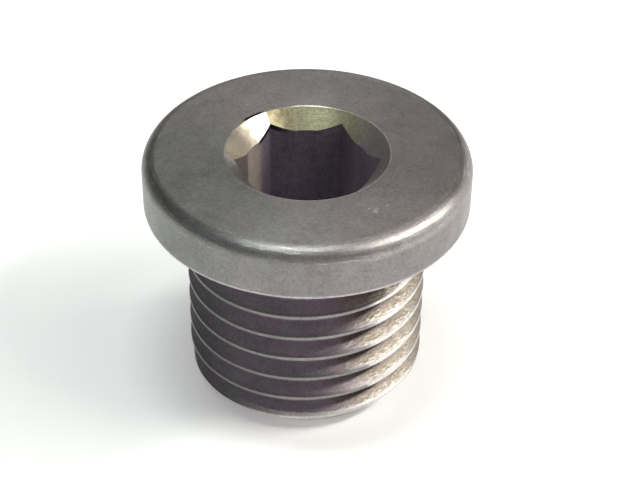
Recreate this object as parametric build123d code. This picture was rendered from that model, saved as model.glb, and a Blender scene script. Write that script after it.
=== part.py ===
"""Screw plug with a collar and a hexagon socket, turned from one bar of steel.

The plug stands on its threaded end. The origin is the centre of that end face
and +Z runs up the axis to the collar's top face. Two flats of the socket face
-Y and +Y, and two of its corners lie on -X and +X. The shank is the cylinder
over the thread's crests; the thread itself isn't cut. Lengths are in millimetres.
"""

import os
from math import radians, tan

from build123d import *

# Driving dimensions
thread_diameter = 13.85  # over the crests of an M14 x 1.5 thread
shank_length = 11.8  # from the end face to the collar's underside
end_face_diameter = 12.0
collar_diameter = 18.6
collar_thickness = 3.1
collar_top_round = 0.85
collar_edge_break = 0.15
neck_diameter = 11.7  # relief between thread and collar
neck_length = 0.6  # its straight part, above the 45 degree flank that ends the thread
neck_root_round = 0.3
seat_inner_diameter = 14.4  # the underside is relieved inside this, clear of the thread
seat_relief = 0.15
socket_across_flats = 7.15  # for a 7 mm key
socket_depth = 7.0
drill_diameter = 7.26  # pilot hole, wider than the flats: it leaves an arc down the middle of each
drill_point_angle = 118.0
countersink_diameter = 9.3
countersink_angle = 90.0

# Dimensions that follow
thread_radius = thread_diameter / 2
end_face_radius = end_face_diameter / 2
collar_radius = collar_diameter / 2
neck_radius = neck_diameter / 2
seat_inner_radius = seat_inner_diameter / 2
end_chamfer = thread_radius - end_face_radius
neck_flank = thread_radius - neck_radius
thread_top = shank_length - neck_length - neck_flank
total_length = shank_length + collar_thickness


def turned(*corners):
    """A solid of revolution about Z from the (radius, height) corners of its half section."""
    return revolve(Plane.XZ * make_face(Polyline(*corners, close=True)), Axis.Z)


def circles_at(solid, radius, height):
    """The circular edges of that radius at that height."""
    circles = solid.edges().filter_by(GeomType.CIRCLE)
    return [c for c in circles if abs(c.radius - radius) < 1e-6 and abs(c.arc_center.Z - height) < 1e-6]


def turned_blank():
    """Everything that the lathe makes on the outside, with its edges rolled, broken and rounded."""
    seat_relief_height = shank_length + seat_relief
    blank = turned(
        (0, 0),
        (end_face_radius, 0),
        (thread_radius, end_chamfer),
        (thread_radius, thread_top),
        (neck_radius, thread_top + neck_flank),
        (neck_radius, seat_relief_height),
        (seat_inner_radius - seat_relief, seat_relief_height),
        (seat_inner_radius, shank_length),
        (collar_radius, shank_length),
        (collar_radius, total_length),
        (0, total_length),
    )
    blank = fillet(circles_at(blank, collar_radius, total_length), collar_top_round)
    blank = chamfer(circles_at(blank, collar_radius, shank_length), collar_edge_break)
    return fillet(circles_at(blank, neck_radius, seat_relief_height), neck_root_round)


def cone_down(radius, height, included_angle):
    """A cone that points down from a circle at that height, as a drill or countersink leaves it."""
    depth = radius / tan(radians(included_angle / 2))
    return turned((0, height - depth), (radius, height), (0, height))


def socket():
    """The hexagon and its pilot hole, the drill's point, and the countersink that opens them in scallops."""
    hexagon = RegularPolygon(socket_across_flats / 2, 6, major_radius=False)
    outlines = hexagon + Circle(drill_diameter / 2)
    hole = extrude(Plane.XY.offset(total_length) * outlines, -socket_depth)
    drill_point = cone_down(drill_diameter / 2, total_length - socket_depth, drill_point_angle)
    countersink = cone_down(countersink_diameter / 2, total_length, countersink_angle)
    return hole + drill_point + countersink


plug = turned_blank() - socket()
os.makedirs("parts", exist_ok=True)
export_step(plug, "parts/plug_body.step")
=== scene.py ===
"""A hex socket plug: one turned piece of steel with a collar, a fine thread and a hexagon socket.

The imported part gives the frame. Heights and radii are in millimetres until a mesh is
made, and the plug stands on its threaded end with +Z up its axis, as the part does.
"""

from math import cos, pi, radians, sin, sqrt, tan

import bpy
import numpy as np
from mathutils import Matrix, Quaternion, Vector


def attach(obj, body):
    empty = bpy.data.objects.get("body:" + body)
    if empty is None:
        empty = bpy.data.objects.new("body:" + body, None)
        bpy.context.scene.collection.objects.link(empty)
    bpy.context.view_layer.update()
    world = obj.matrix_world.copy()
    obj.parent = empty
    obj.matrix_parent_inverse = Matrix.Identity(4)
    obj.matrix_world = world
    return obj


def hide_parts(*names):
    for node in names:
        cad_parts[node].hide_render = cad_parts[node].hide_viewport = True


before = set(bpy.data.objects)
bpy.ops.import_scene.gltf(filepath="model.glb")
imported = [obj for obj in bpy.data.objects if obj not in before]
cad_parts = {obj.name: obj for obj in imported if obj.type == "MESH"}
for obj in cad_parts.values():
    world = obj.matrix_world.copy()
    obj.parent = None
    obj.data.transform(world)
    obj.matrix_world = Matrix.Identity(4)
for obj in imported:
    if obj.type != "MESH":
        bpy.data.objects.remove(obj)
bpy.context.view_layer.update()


# Camera ---------------------------------------------------------------------------
# A long lens near the plug, looking down on it from the front. It turns a little
# about its own axis and about the plug's, so the far flat isn't quite level.

MM = 0.001
camera_elevation = radians(37.596)
camera_turn = radians(-2.134)
camera_roll = radians(0.922)
camera_distance = 98.81 * MM
camera_aim = Vector((0.777, 0, 8.651)) * MM
CAMERA_LENS = 95.546
SENSOR_WIDTH = 36

camera = bpy.data.objects.new("camera", bpy.data.cameras.new("camera"))
bpy.context.scene.collection.objects.link(camera)
bpy.context.scene.camera = camera
camera.data.sensor_width = SENSOR_WIDTH
camera.data.lens = CAMERA_LENS
camera.data.clip_start = 0.005
camera.data.clip_end = 10
turned_about_plug = Matrix.Rotation(camera_turn, 4, "Z")
camera_back = Vector((0, -cos(camera_elevation), sin(camera_elevation)))
camera.matrix_world = (
    turned_about_plug
    @ Matrix.Translation(camera_aim + camera_back * camera_distance)
    @ Matrix.Rotation(pi / 2 - camera_elevation, 4, "X")
    @ Matrix.Rotation(camera_roll, 4, "Z")
)


# Plug body ------------------------------------------------------------------------
# One bar of steel, turned to a collar and a shank and screw-cut right-hand with a pitch
# of 1.5 mm. Its top is countersunk and drilled, and broached for a 7 mm hexagon key.

COLUMNS = 300  # a multiple of six, so every corner of the hexagon has a column
PITCH = 1.5
PROFILE_RADIUS = 6.95  # of the basic thread profile, at the middle of its tolerance
CREST_RADIUS = 6.925
ROOT_RADIUS = PROFILE_RADIUS - 17 / 24 * sqrt(3) / 2 * PITCH  # 17/24 of a sharp thread's height
ROOT_ROUND = PITCH * sqrt(3) / 12
CREST_HALF_FLAT = PITCH / 16 + (PROFILE_RADIUS - CREST_RADIUS) * tan(pi / 6)
CREST_CORNER = 0.06
CREST_HEIGHT = 1.398  # of the lowest whole crest on the +X side
END_FACE_RADIUS = 6.0
THREAD_TOP = 10.125
NECK_RADIUS = 5.85
NECK_FLANK_TOP = THREAD_TOP + CREST_RADIUS - NECK_RADIUS
COLLAR_UNDERSIDE = 11.8
COLLAR_TOP = 14.9
COLLAR_RADIUS = 9.3
COLLAR_TOP_ROUND = 0.85
COLLAR_EDGE_BREAK = 0.15
NECK_ROOT_ROUND = 0.3
SEAT_INNER_RADIUS = 7.2
SEAT_RELIEF = 0.15
RIM_RADIUS = 4.65  # of the countersink
RIM_ROUND = 0.08
RIM_ROUND_SET_BACK = 0.033  # from the rim to where its round starts
BORE_RADIUS = 3.63
ACROSS_FLATS = 7.15
SOCKET_DEPTH = 7.0
DRILL_POINT_ANGLE = 118

angle = np.linspace(0, 2 * pi, COLUMNS + 1)


def thread_radius(from_crest):
    """Radius of the 60 degree thread at a distance along the axis from the nearest crest's middle.

    It is the crest's flat, less a flank that falls by tan 60 per length, eased by an arc
    at the crest's corner, and it ends in an arc about the root's middle.
    """
    w = np.abs(from_crest)
    ease = CREST_CORNER * tan(pi / 6)
    along = np.clip(w - CREST_HALF_FLAT + ease, 0, CREST_CORNER * sin(pi / 3))
    corner = CREST_RADIUS - CREST_CORNER + np.sqrt(CREST_CORNER**2 - along**2)
    flank = CREST_RADIUS - np.maximum(w - CREST_HALF_FLAT, 0) * sqrt(3)
    falling = np.where(w < CREST_HALF_FLAT - ease + CREST_CORNER * sin(pi / 3), corner, flank)
    across = np.clip(PITCH / 2 - w, 0, ROOT_ROUND * cos(pi / 6))
    root = ROOT_RADIUS + ROOT_ROUND - np.sqrt(ROOT_ROUND**2 - across**2)
    return np.where(PITCH / 2 - w < ROOT_ROUND * cos(pi / 6), root, falling)


def thread_rows():
    """Heights above a crest's middle of one pitch of rows.

    They lie close together at the crest's corner and in the root, where the profile turns.
    """
    ease = CREST_CORNER * tan(pi / 6)
    corner = CREST_HALF_FLAT - ease + CREST_CORNER * np.sin(np.radians([0, 20, 40, 60]))
    tangent = PITCH / 2 - ROOT_ROUND * cos(pi / 6)
    flank = np.linspace(corner[-1], tangent, 6)[1:]
    root = PITCH / 2 - ROOT_ROUND * np.sin(np.radians([40, 20]))
    half = np.concatenate([corner, flank, root])
    return np.concatenate([[0], half, [PITCH / 2], PITCH - half[::-1]])


def threaded_band(bottom, top, limit):
    """A band of the shank from bottom to top as radius and height grids.

    Each row is a helix that rises by one pitch in a turn and is held between the band's
    ends, so rows lie along the crests, and column 0 of the next turn meets the last column.
    """
    turns = np.arange(int((bottom - CREST_HEIGHT) / PITCH) - 3, int(top / PITCH) + 2)
    rows = (thread_rows()[None, :] + PITCH * turns[:, None]).ravel()[:, None]
    crest = CREST_HEIGHT + PITCH * angle / (2 * pi)
    height = np.clip(rows + crest, bottom, top)
    from_crest = (height - crest + PITCH / 2) % PITCH - PITCH / 2
    return np.minimum(thread_radius(from_crest), limit(height)), height


def rings(*corners):
    """Radius and height grids of plain rings, one for each (radius, height)."""
    profile = np.array(corners, float)
    flat = np.ones((1, COLUMNS + 1))
    return profile[:, :1] * flat, profile[:, 1:] * flat


def arc(radius, height, size, start, end, steps):
    """Corners on an arc about (radius, height) between two angles in degrees from outwards."""
    turn = np.radians(np.linspace(start, end, steps + 1))
    return list(zip(radius + size * np.cos(turn), height + size * np.sin(turn)))


def hexagon_radius(across_flats, bore_radius):
    """Distance from the axis to the socket's wall.

    It is the hexagon's apothem over the cosine of the angle from the flat's middle, or the
    pilot bore's radius where that is larger.
    """
    from_flat = np.degrees(angle) % 60 - 30
    return np.maximum(across_flats / 2 / np.cos(np.radians(from_flat)), bore_radius)


def socket_rings():
    """The countersink's 45 degree cone, the hexagon's walls, and the floor with the drill's point.

    The cone is a straight line from the rim to the wall, so its foot rises where the wall
    is nearer to the rim.
    """
    wall = hexagon_radius(ACROSS_FLATS, BORE_RADIUS)[None, :]
    cone_foot = COLLAR_TOP - (RIM_RADIUS - wall)
    floor = COLLAR_TOP - SOCKET_DEPTH
    steps = np.linspace(0.06, 1, 6)[:, None]
    cone_radius = RIM_RADIUS + (wall - RIM_RADIUS) * steps
    cone = cone_radius, COLLAR_TOP + (cone_foot - COLLAR_TOP) * steps
    down = np.linspace(0, 1, 5)[1:, None]
    walls = wall * np.ones_like(down), cone_foot + (floor - cone_foot) * down
    point_depth = BORE_RADIUS / tan(radians(DRILL_POINT_ANGLE / 2))
    halfway = (BORE_RADIUS / 2, floor - point_depth / 2)
    point = rings((BORE_RADIUS, floor), halfway, (0, floor - point_depth))
    return [cone, walls, point]


# Where the arcs of the neck's root, the collar's lower edge and its rolled edge are centred.
NECK_ROUND_HEIGHT = COLLAR_UNDERSIDE + SEAT_RELIEF - NECK_ROOT_ROUND
EDGE_RADIUS = COLLAR_RADIUS - COLLAR_EDGE_BREAK
ROLL_RADIUS = COLLAR_RADIUS - COLLAR_TOP_ROUND

bands = [
    rings((0, 0), (3, 0)),
    threaded_band(0, CREST_RADIUS - END_FACE_RADIUS, lambda z: END_FACE_RADIUS + z),
    threaded_band(CREST_RADIUS - END_FACE_RADIUS, THREAD_TOP, lambda z: CREST_RADIUS),
    threaded_band(THREAD_TOP, NECK_FLANK_TOP, lambda z: CREST_RADIUS - (z - THREAD_TOP)),
    rings(
        *arc(NECK_RADIUS + NECK_ROOT_ROUND, NECK_ROUND_HEIGHT, NECK_ROOT_ROUND, 180, 90, 6),
        (SEAT_INNER_RADIUS - SEAT_RELIEF, COLLAR_UNDERSIDE + SEAT_RELIEF),
        (SEAT_INNER_RADIUS, COLLAR_UNDERSIDE),
        (8.2, COLLAR_UNDERSIDE),
        (EDGE_RADIUS, COLLAR_UNDERSIDE),
        *arc(EDGE_RADIUS, COLLAR_UNDERSIDE + COLLAR_EDGE_BREAK, COLLAR_EDGE_BREAK, -60, 0, 3),
        (COLLAR_RADIUS, 13),
        *arc(ROLL_RADIUS, COLLAR_TOP - COLLAR_TOP_ROUND, COLLAR_TOP_ROUND, 0, 90, 18),
        (6.5, COLLAR_TOP),
        *arc(RIM_RADIUS + RIM_ROUND_SET_BACK, COLLAR_TOP - RIM_ROUND, RIM_ROUND, 90, 135, 4),
    ),
    *socket_rings(),
]
radius = np.concatenate([band[0] for band in bands])
height = np.concatenate([band[1] for band in bands])
grid = np.stack([radius * np.cos(angle), radius * np.sin(angle), height], axis=-1)

# Points at one place become one vertex, and a quad that lost a side becomes a triangle.
places, vertex = np.unique(np.round(grid.reshape(-1, 3), 5), axis=0, return_inverse=True)
vertex = vertex.reshape(grid.shape[:2])
quad_corners = [vertex[:-1, :-1], vertex[:-1, 1:], vertex[1:, 1:], vertex[1:, :-1]]
quads = np.stack(quad_corners, axis=-1).reshape(-1, 4)
repeated = quads == np.roll(quads, -1, axis=1)
whole = quads[repeated.sum(axis=1) == 0]
three_sided = repeated.sum(axis=1) == 1
triangles = quads[three_sided][~repeated[three_sided]].reshape(-1, 3)

plug_mesh = bpy.data.meshes.new("plug")
plug_mesh.from_pydata(places * MM, [], whole.tolist() + triangles.tolist())
faces = len(plug_mesh.polygons)
centre, normal = np.empty(faces * 3, np.float32), np.empty(faces * 3, np.float32)
plug_mesh.polygons.foreach_get("center", centre)
plug_mesh.polygons.foreach_get("normal", normal)
# The socket's walls stay flat, and every edge sharper than the limit stays crisp.
SHARP_ANGLE = radians(28)
from_axis = np.hypot(centre[0::3], centre[1::3]) / MM
upright = np.abs(normal[2::3]) < 0.1
socket_wall = (from_axis < 4.2) & upright
plug_mesh.polygons.foreach_set("use_smooth", ~socket_wall)
plug_mesh.set_sharp_from_angle(angle=SHARP_ANGLE)
plug = bpy.data.objects.new("plug", plug_mesh)
bpy.context.scene.collection.objects.link(plug)


class Link:
    """One output socket of a node tree.

    Its operators add Math nodes, and node() adds any other node.
    """

    def __init__(self, tree, socket=None):
        self.tree = tree
        self.socket = socket

    def node(self, kind, settings={}, sockets={}, output=0):
        """Adds a node with its settings and its sockets' values or links, and returns an output."""
        made = self.tree.nodes.new(kind)
        for name, value in settings.items():
            setattr(made, name, value)
        for name, value in sockets.items():
            if isinstance(value, Link):
                self.tree.links.new(value.socket, made.inputs[name])
            else:
                made.inputs[name].default_value = value
        return Link(self.tree, made.outputs[output])

    def math(self, operation, *values):
        return self.node("ShaderNodeMath", {"operation": operation}, dict(enumerate(values)))

    def __add__(self, other):
        return self.math("ADD", self, other)

    def __radd__(self, other):
        return self.math("ADD", other, self)

    def __sub__(self, other):
        return self.math("SUBTRACT", self, other)

    def __rsub__(self, other):
        return self.math("SUBTRACT", other, self)

    def __mul__(self, other):
        return self.math("MULTIPLY", self, other)

    def __truediv__(self, other):
        return self.math("DIVIDE", self, other)

    def ramp(self, start, end):
        """0 up to start, 1 from end on, and an S curve between them; start may be the larger."""
        settings = {"interpolation_type": "SMOOTHSTEP"}
        if start < end:
            return self.node("ShaderNodeMapRange", settings, {0: self, 1: start, 2: end})
        return 1 - self.node("ShaderNodeMapRange", settings, {0: self, 1: end, 2: start})

    def mix(self, first, second):
        """The colour that goes from first to second as this factor goes from 0 to 1."""
        return self.node("ShaderNodeMix", {"data_type": "RGBA"}, {0: self, 6: first, 7: second}, 2)


def empty_material(name):
    """A material with nothing in its tree, and a Link that starts the tree."""
    material = bpy.data.materials.new(name)
    material.use_nodes = True
    material.node_tree.nodes.clear()
    return material, Link(material.node_tree)


def finish_material(shader):
    output = shader.tree.nodes.new("ShaderNodeOutputMaterial")
    shader.tree.links.new(shader.socket, output.inputs["Surface"])


steel, start = empty_material("turned steel")
metres = start.node("ShaderNodeTexCoord", output="Object")
place = start.node("ShaderNodeVectorMath", {"operation": "SCALE"}, {0: metres, "Scale": 1000}, 0)
x, y, z = [start.node("ShaderNodeSeparateXYZ", {}, {0: place}, axis) for axis in "XYZ"]
out = (x * x + y * y).math("SQRT", x * x + y * y)
across, ahead = x / out, y / out


def specks(size, detail=2.0, roughness=0.5):
    """Noise with grains of that size in millimetres, the same in every direction, centred on 0."""
    sockets = {"Vector": place, "Scale": 1 / size, "Detail": detail, "Roughness": roughness}
    return start.node("ShaderNodeTexNoise", {}, sockets) - 0.5


def drawn(around, outwards, upwards, detail=2.0):
    """Noise drawn out along the turning.

    Its grains are so many per radian round the axis, and per millimetre outwards and upwards.
    """
    turned = {0: across * around, 1: ahead * around, 2: out * outwards}
    vector = start.node("ShaderNodeCombineXYZ", {}, turned)
    sockets = {"Vector": vector, "W": z * upwards, "Scale": 1.0, "Detail": detail}
    return start.node("ShaderNodeTexNoise", {"noise_dimensions": "4D"}, sockets) - 0.5


# Where each finish lies, from 0 to 1. Across and ahead are the +X and +Y parts of the
# direction out from the axis, azimuth is its angle in degrees from +X, and below_rim is
# the height in millimetres below the countersink's cone.
azimuth = y.math("ARCTAN2", y, x) * (180 / pi)
below_rim = COLLAR_TOP - RIM_RADIUS + out - z
in_socket = out.ramp(4.70, 4.66) * z.ramp(1.0, 2.0)
on_walls = in_socket * below_rim.ramp(0.01, 0.04)
on_flats = on_walls * z.ramp(7.95, 8.1)
on_chamfer = (out - z).ramp(5.95, 5.985) * z.ramp(0.95, 0.9)
in_groove = out.ramp(6.90, 6.70) * z.ramp(11.9, 11.7) * out.ramp(4.9, 5.0) * (1 - on_chamfer)
lit_side = (across + ahead * -0.25 + specks(2.5) * 0.5).ramp(0.42, 0.80)
# Painted shadow: on the lit side, the roots that the crest above shades.
painted_root_shadow = in_groove * out.ramp(6.50, 6.36) * lit_side

steel_colour = (0.274, 0.250, 0.253, 1)
cool_steel_colour = (0.250, 0.257, 0.251, 1)
shadow_side_groove_colour = (0.345, 0.288, 0.335, 1)
grey_groove_colour = (0.30, 0.30, 0.31, 1)
shaded_crest_colour = (0.19, 0.175, 0.185, 1)
far_right_colour = (0.405, 0.37, 0.305, 1)
lit_side_groove_colour = (0.265, 0.232, 0.187, 1)
root_shadow_colour = (0.20, 0.165, 0.165, 1)
cone_colour = (0.52, 0.49, 0.50, 1)
straw_colour = (0.53, 0.50, 0.335, 1)
gold_colour = (0.25, 0.20, 0.105, 1)
dark_straw_colour = (0.09, 0.083, 0.043, 1)
wall_colour = (0.29, 0.24, 0.30, 1)
lit_brown_wall_colour = (0.42, 0.36, 0.32, 1)
bore_colour = (0.48, 0.42, 0.365, 1)
shaded_wall_colour = (0.20, 0.17, 0.16, 1)
painted_shadow_colour = (0.02, 0.015, 0.02, 1)
worn_and_lit_edge_colour = (0.62, 0.57, 0.60, 1)
bright_colour = (0.92, 0.89, 0.86, 1)

# The countersink: straw and gold tints, and to the left of the hexagon's corner at 120
# degrees a bare patch painted bright as a highlight, with painted shadow as a dark line on
# the rim above it and under its lip. The straw is darker towards the cone's far left.
left_face = azimuth.ramp(119.8, 120.2)
tinted = (across * -1 + ahead * 0.9 + specks(1.5)).ramp(-0.6, 0.2)
straw = in_socket * tinted * ahead.ramp(-0.10, 0.06)
far_left = (across + specks(0.5, 3.0) * 0.2).ramp(-0.74, -0.81)
gold = in_socket * azimuth.ramp(96, 106) * (1 - left_face) * (0.5 + specks(0.4, 3.0) * 2)
bare_patch_and_highlight = in_socket * left_face * (azimuth + specks(0.5, 3.0) * 14).ramp(139, 135)
# The pilot bore's strip on the left-back flat, painted bright as a highlight.
bore_strip_highlight = (azimuth + specks(0.25, 2.0) * 6).ramp(137, 139)
bore_strip_highlight = bore_strip_highlight * (azimuth + specks(0.5, 3.0) * 12).ramp(160, 155)
at_top = z.ramp(14.7, 14.8)
rim = out.ramp(4.61, 4.64) * out.ramp(4.73, 4.70) * at_top
far_rim_highlight = azimuth.ramp(70, 78) * azimuth.ramp(102, 96)
# Painted shadow: a dark line on the rim, and the shade under the lip.
shadow_line = out.ramp(4.65, 4.67) * out.ramp(4.86, 4.81) * at_top * azimuth.ramp(120, 125)
shadow_line = shadow_line * azimuth.ramp(142, 136)
painted_lip_shadow = on_walls * (below_rim + specks(0.5) * 0.1).ramp(0.38, 0.26)
painted_lip_shadow = painted_lip_shadow * azimuth.ramp(100, 118) * azimuth.ramp(140, 134)
lip = in_socket * below_rim.ramp(-0.22, -0.10) * (1 - on_walls) * azimuth.ramp(130, 145)

# The collar's lower edge and the end chamfer, brightened partly by wear and partly as painted
# highlight; a painted reflection as a bright band by the end on the front and right; the
# crests, painted bright on the lit right and painted shade on the left; and on the right the
# flanks, torn by the cutting and painted bright towards the crests, paler and yellower at
# the far right.
lower_edge = z.ramp(12.04, 11.97) * out.ramp(9.08, 9.14)
end_band_highlight = (out - z + specks(0.6) * 0.3).ramp(5.42, 5.58) * z.ramp(1.5, 1.4)
end_band_highlight = end_band_highlight * across.ramp(-0.75, -0.1)
crests = out.ramp(6.89, 6.92) * z.ramp(10.3, 10.1)
lit_crests = crests * (across + specks(0.5) * 0.1).ramp(0.46, 0.56)
shaded_crests = crests * ((across + drawn(3.0, 0.5, 0.5) * 1.2).ramp(0.2, -0.8) * 0.6 + 0.15)
tears = drawn(22.0, 7.0, 7.0, 3.0)
# Torn flanks with a painted highlight: brightened on the lit side, most towards the crests.
torn = lit_side * z.ramp(11.0, 10.6) * (out + tears * 1.8).ramp(6.5, 7.0)
far_right_of_thread = (in_groove + crests) * (across + specks(1.5, 3.0) * 0.3).ramp(0.78, 0.96)


def nick(x, y, z, size):
    """A torn spot round a point in millimetres, one at its middle."""
    ends = {0: place, 1: (x, y, z)}
    distance = start.node("ShaderNodeVectorMath", {"operation": "DISTANCE"}, ends, 1)
    return (distance + specks(0.12, 3.0) * size * 1.6).ramp(size, size * 0.6)


# A scuffed patch on the top's right front, two nicks, and a speckled rolled edge, with a
# painted sheen on its right.
scuff = nick(3.60, -5.60, COLLAR_TOP, 0.30) + nick(4.05, -5.15, COLLAR_TOP, 0.24)
scuff = scuff + nick(3.2, -5.5, COLLAR_TOP, 0.16)
scuff = scuff * drawn(16.0, 8.0, 1.0, 3.0).ramp(0.0, 0.12)
nicks = scuff * 0.5 + nick(-3.36, -1.86, 14.09, 0.14) + nick(4.04, -1.37, 14.5, 0.10)
on_roll = out.ramp(8.3, 8.6) * z.ramp(13.8, 14.1)
speckle = drawn(9.0, 8.0, 8.0, 3.0)
# The roll's right side, painted brighter as a sheen.
lit_right_of_roll = across.ramp(0.1, 0.5) * across.ramp(1.0, 0.75)
flecks_and_sheen = on_roll * (speckle.ramp(0.04, 0.24) * 0.22 + lit_right_of_roll * 0.14)

# What the whole colour is multiplied by: a mottle, part of it drawn along the turning.
# Its last two terms are painted shade: they darken the socket's far side and the cone's
# left front.
mottle_and_shade = 1 + specks(1.6, 4.0, 0.65) * 0.5 + specks(0.14, 2.0) * 0.7 + drawn(2.0, 9.0, 9.0) * 0.18
mottle_and_shade = mottle_and_shade + drawn(25.0, 2.5, 1.2) * 0.2 - in_socket * ahead.ramp(0.5, 1.0) * 0.35
left_front = across.ramp(-0.5, -0.8) * ahead.ramp(0.0, -0.14)
mottle_and_shade = mottle_and_shade - in_socket * (1 - on_walls) * left_front * 0.45

cooled = (across * -0.9 + ahead * -0.35 + specks(2.2, 3.0) * 1.2).ramp(0.1, 1.2)
colour = cooled.mix(steel_colour, cool_steel_colour)
colour = (in_socket * (1 - on_walls)).mix(colour, cone_colour)
greyed = (specks(1.3, 3.0) * 3 + across * -0.5).ramp(-0.2, 0.9)
# The grooves take a warm copy of their colour on the lit side and a lavender copy elsewhere:
# painted light and shade.
flank_colour = lit_side.mix(greyed.mix(shadow_side_groove_colour, grey_groove_colour), lit_side_groove_colour)
colour = in_groove.mix(colour, flank_colour)
# Painted shadow in the lit roots.
colour = (painted_root_shadow * 0.9).mix(colour, root_shadow_colour)
# The straw is darker towards the cone's far left.
colour = straw.mix(colour, far_left.mix(straw_colour, dark_straw_colour))
colour = gold.mix(colour, gold_colour)
# A bare patch, painted bright as the key's highlight on it.
colour = (bare_patch_and_highlight * 0.9).mix(colour, bright_colour)
colour = on_walls.mix(colour, wall_colour)
# The left-back flat: painted light as a lit brown part, a painted highlight on the bore's strip,
# and painted shade towards its left corner.
colour = (on_flats * azimuth.ramp(131, 137)).mix(colour, lit_brown_wall_colour)
colour = (on_flats * azimuth.ramp(154, 160)).mix(colour, shaded_wall_colour)
colour = (on_flats * bore_strip_highlight + lip * 0.5).mix(colour, bore_colour)
# Painted highlight, partly wear: the collar's lower edge and the end chamfer, and the crests more
# towards the right.
edge_wear_and_highlight = lower_edge * 0.65 + crests * across.ramp(-0.8, 0.2) * 0.15 + on_chamfer
colour = edge_wear_and_highlight.mix(colour, worn_and_lit_edge_colour)
# Painted shade: the crests darker towards the left.
colour = shaded_crests.mix(colour, shaded_crest_colour)
# The end band, a painted reflection.
colour = (end_band_highlight * 0.6).mix(colour, bright_colour)
# Painted highlight: the crests on the lit side, and the torn flanks towards the crests.
colour = (lit_crests * 0.9 + in_groove * torn * 0.38).mix(colour, bright_colour)
# Paler and yellower at the thread's far right.
colour = (far_right_of_thread * 0.75).mix(colour, far_right_colour)
# A painted highlight along the rim, brightest on its far arc.
colour = (rim * (0.1 + far_rim_highlight * 0.7)).mix(colour, bright_colour)
# Flecks on the rolled edge, and a painted sheen on its right.
colour = (nicks * 0.7 + flecks_and_sheen).mix(colour, bright_colour)
# Painted shadow on the rim and under the lip.
colour = (shadow_line + painted_lip_shadow).mix(colour, painted_shadow_colour)
mottled = {0: colour, "Scale": mottle_and_shade}
colour = start.node("ShaderNodeVectorMath", {"operation": "SCALE"}, mottled)
roughness = 0.40 + specks(0.6, 3.0) * 0.16 + in_groove * 0.04 + on_walls * 0.1
relief = drawn(1.5, 16.0, 16.0, 1.0) * 0.8 + specks(0.08, 2.0) * (0.5 + in_groove * 1.2)
relief = relief + tears * in_groove * lit_side * 5.0 + speckle * on_roll * 1.8
height_sockets = {"Strength": 1.0, "Distance": 0.010 * MM, "Height": relief}
bump = start.node("ShaderNodeBump", {}, height_sockets)
sockets = {
    "Base Color": colour,
    "Metallic": 1 - on_walls * 0.5 - end_band_highlight * 0.5,
    "Roughness": roughness,
    "Anisotropic": 0.6,
    "Anisotropic Rotation": 0.25,
    "Normal": bump,
}
finish_material(start.node("ShaderNodeBsdfPrincipled", {}, sockets))
plug_mesh.materials.append(steel)
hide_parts("plug_body")
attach(plug, "root")


# Floor ----------------------------------------------------------------------------
# A pale matt table top under the plug, wide enough to fill every view from above. It
# glows faintly to the camera and in the steel's reflections, so that it stays pale.

floor_mesh = bpy.data.meshes.new("floor")
edge = 3.0
floor_corners = [(-edge, -edge, 0), (edge, -edge, 0), (edge, edge, 0), (-edge, edge, 0)]
floor_mesh.from_pydata(floor_corners, [], [(0, 1, 2, 3)])
floor = bpy.data.objects.new("floor", floor_mesh)
bpy.context.scene.collection.objects.link(floor)
pale, start = empty_material("pale table top")
matt = start.node("ShaderNodeBsdfDiffuse", {}, {"Color": (0.92, 0.92, 0.92, 1)})
seen = [
    start.node("ShaderNodeLightPath", {}, {}, "Is " + kind + " Ray")
    for kind in ("Camera", "Glossy", "Transmission")
]
glow = {"Strength": (seen[0] + seen[1] + seen[2]) * 0.2}
paper = start.node("ShaderNodeEmission", {}, glow)
finish_material(start.node("ShaderNodeAddShader", {}, {0: matt, 1: paper}))
floor_mesh.materials.append(pale)


# Studio light ---------------------------------------------------------------------
# Seven lamps in a plain grey room. The key is a narrow warm strip from the right, which
# draws the thread's bands. A cool lamp hangs overhead, and the others fill.

LAMP_DISTANCE = 0.30
LAMP_AIM = Vector((0, 0, 0.011))


def soft_box(name, azimuth, elevation, width, tall, tilt, radiance, colour):
    """A rectangular lamp facing the plug, at an azimuth from +X and an elevation in degrees.

    Tilt turns it about the line to the plug. Its power follows from the radiance its face
    shows: pi times area times radiance.
    """
    data = bpy.data.lights.new(name, "AREA")
    data.shape = "RECTANGLE"
    data.size = width
    data.size_y = tall
    data.energy = radiance * pi * width * tall
    data.color = colour
    lamp = bpy.data.objects.new(name, data)
    bpy.context.scene.collection.objects.link(lamp)
    around, up = radians(azimuth), radians(elevation)
    towards = Vector((cos(around) * cos(up), sin(around) * cos(up), sin(up)))
    lamp.location = LAMP_AIM + towards * LAMP_DISTANCE
    lamp.rotation_mode = "QUATERNION"
    facing = towards.to_track_quat("Z", "Y")
    lamp.rotation_quaternion = facing @ Quaternion((0, 0, 1), radians(tilt))


soft_box("key", -3, 43.0, 0.24, 0.03, -40, 30.5, (1, 0.97, 0.91))
soft_box("overhead", 210, 84, 0.13, 0.04, 60, 23.5, (0.92, 1, 0.965))
soft_box("between", -32, 65, 0.08, 0.08, 0, 3.5, (1, 0.98, 0.93))
soft_box("left", 200, 50, 0.25, 0.25, 0, 0.12, (0.95, 1, 0.98))
soft_box("right", 38, 12, 0.24, 0.12, 0, 1.35, (1, 0.98, 0.92))
soft_box("back", 90, 47, 0.15, 0.15, 0, 0.98, (1, 1, 0.93))
soft_box("front", 270, 25, 0.3, 0.2, 0, 0.22, (1, 1, 1))
world = bpy.data.worlds.new("room")
world.use_nodes = True
world.node_tree.nodes["Background"].inputs["Color"].default_value = (1, 1, 1, 1)
world.node_tree.nodes["Background"].inputs["Strength"].default_value = 0.12
bpy.context.scene.world = world
bpy.context.scene.view_settings.view_transform = "Standard"
